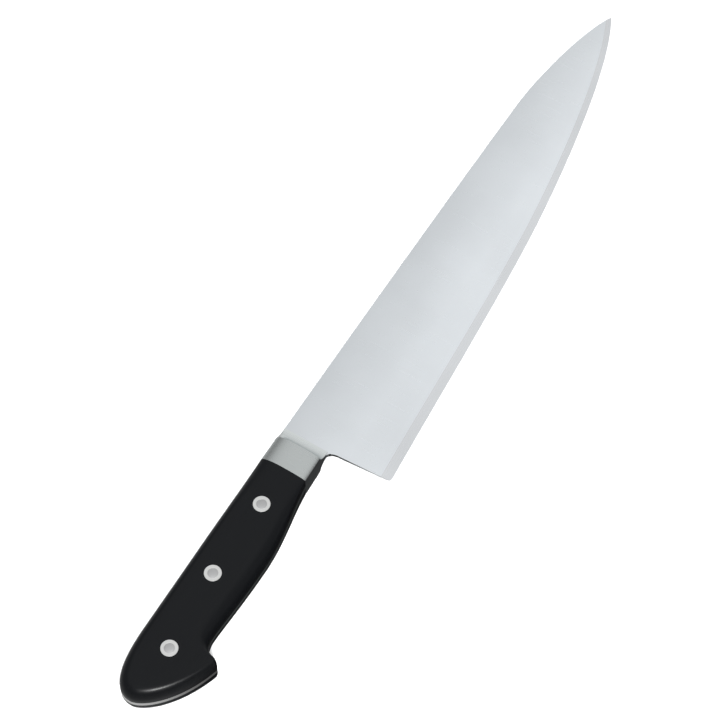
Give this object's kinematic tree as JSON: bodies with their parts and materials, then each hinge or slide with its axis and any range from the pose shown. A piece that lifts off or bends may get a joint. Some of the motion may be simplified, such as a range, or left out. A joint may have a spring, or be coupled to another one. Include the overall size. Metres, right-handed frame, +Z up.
{
  "type": "chef knife",
  "caption": "Western-handled kitchen chef's knife: a tall steel blade with a curved edge, a steel bolster, and black riveted scales on a full tang with a beaked butt.",
  "frame": {"origin": "under the middle of the knife's box, in the plane of the surface that the left scale rests on", "axes": "+X towards the tip, +Y from the cutting edge towards the spine, +Z up from the rest surface, out of the blade's right face"},
  "size_m": [0.372, 0.048, 0.016],
  "materials": {
    "blade_steel": "fine satin, ground lengthways, with bright cutting bevels",
    "bolster_steel": "satin, ground across",
    "black_scale": "smooth satin black",
    "rivet_sleeve": "sanded flush, bright",
    "rivet_core": "sanded flush, dull"
  },
  "bodies": {
    "root": {"blade": "blade_steel", "bolster_right": "bolster_steel", "bolster_left": "bolster_steel", "scale_right": "black_scale", "scale_left": "black_scale", "rivet_sleeve_front": "rivet_sleeve", "rivet_sleeve_middle": "rivet_sleeve", "rivet_sleeve_rear": "rivet_sleeve", "rivet_core_front": "rivet_core", "rivet_core_middle": "rivet_core", "rivet_core_rear": "rivet_core"}
  },
  "joints": []
}
